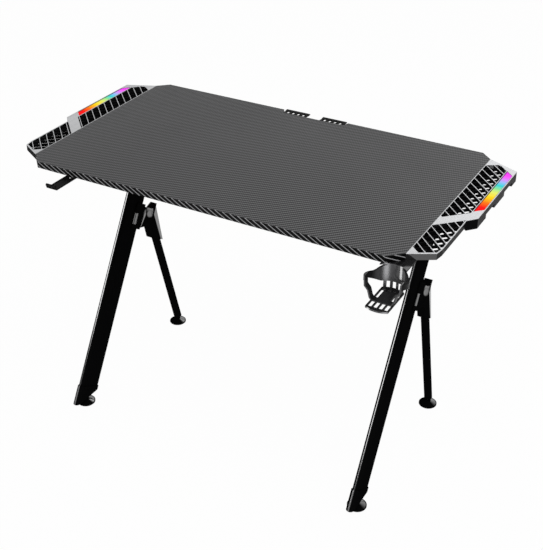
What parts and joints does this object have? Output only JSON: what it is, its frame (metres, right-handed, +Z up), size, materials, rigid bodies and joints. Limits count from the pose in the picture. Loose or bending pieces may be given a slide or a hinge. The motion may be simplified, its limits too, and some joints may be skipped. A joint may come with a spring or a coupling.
{
  "type": "gaming desk",
  "caption": "Gaming desk with a carbon look top, lit grille side wings, slanted twin-tube legs on levelling feet, headphone hook and cup holder.",
  "frame": {"origin": "middle of the overall footprint, on the floor under the feet", "axes": "+X to the desk's right, +Y from the sitter's side to the back, +Z up"},
  "size_m": [1.162, 0.6866, 0.752],
  "materials": {
    "board": "raw particle board",
    "laminate": "dark carbon twill print, satin",
    "edge_band": "black with slanted pale lines",
    "black_plastic": "fine moulded grain",
    "gloss_black": "glossy moulded",
    "silver": "satin silver",
    "opal": "translucent light window",
    "circuit": "circuit board",
    "black_steel": "black powder coat",
    "fastener": "zinc plated",
    "brass": "turned",
    "lead": "round black cable"
  },
  "bodies": {
    "desk": {"tabletop_core": "board", "top_laminate": "laminate", "front_edge_band": "edge_band", "rear_edge_band": "edge_band", "cable_comb_left": "black_plastic", "cable_comb_right": "black_plastic", "comb_screws": "fastener", "lead_clips": "black_plastic", "controller_case": "black_plastic", "controller_board": "circuit", "power_socket": "black_plastic", "controller_screws": "fastener", "front_beam": "black_steel", "rear_beam": "black_steel", "beam_bolts": "fastener", "board_screws": "fastener", "leg_bolts": "fastener", "bracket_screws": "fastener", "foot_inserts": "brass", "headphone_hook": "black_steel", "hook_screws": "fastener", "cup_holder": "gloss_black", "cup_screws": "fastener", "wing_body_left": "black_plastic", "wing_faceplate_left": "silver", "light_window_left": "opal", "light_strip_left": "circuit", "wing_screws_left": "fastener", "light_lead_left": "lead", "side_rail_left": "black_steel", "front_leg_left": "black_steel", "rear_leg_left": "black_steel", "leg_bracket_left": "gloss_black", "front_foot_cap_left": "gloss_black", "rear_foot_shoe_left": "gloss_black", "wing_body_right": "black_plastic", "wing_faceplate_right": "silver", "light_window_right": "opal", "light_strip_right": "circuit", "wing_screws_right": "fastener", "light_lead_right": "lead", "side_rail_right": "black_steel", "front_leg_right": "black_steel", "rear_leg_right": "black_steel", "leg_bracket_right": "gloss_black", "front_foot_cap_right": "gloss_black", "rear_foot_shoe_right": "gloss_black"},
    "foot_front_left": {"foot_pad_front_left": "gloss_black", "foot_stud_front_left": "fastener"},
    "foot_front_right": {"foot_pad_front_right": "gloss_black", "foot_stud_front_right": "fastener"},
    "foot_rear_left": {"foot_pad_rear_left": "gloss_black", "foot_stud_rear_left": "fastener"},
    "foot_rear_right": {"foot_pad_rear_right": "gloss_black", "foot_stud_rear_right": "fastener"},
    "button": {"mode_button": "gloss_black"}
  },
  "joints": [
    {"name": "level_front_left", "type": "slide", "parent": "desk", "child": "foot_front_left", "axis": [0, 0, -1], "range_m": [-0.004, 0.006]},
    {"name": "level_front_right", "type": "slide", "parent": "desk", "child": "foot_front_right", "axis": [0, 0, -1], "range_m": [-0.004, 0.006]},
    {"name": "level_rear_left", "type": "slide", "parent": "desk", "child": "foot_rear_left", "axis": [0, 0, -1], "range_m": [-0.004, 0.006]},
    {"name": "level_rear_right", "type": "slide", "parent": "desk", "child": "foot_rear_right", "axis": [0, 0, -1], "range_m": [-0.004, 0.006]},
    {"name": "mode_press", "type": "slide", "parent": "desk", "child": "button", "axis": [0, 0, 1], "range_m": [0, 0.001], "stiffness_N_per_m": 500, "springref_m": -0.002}
  ]
}
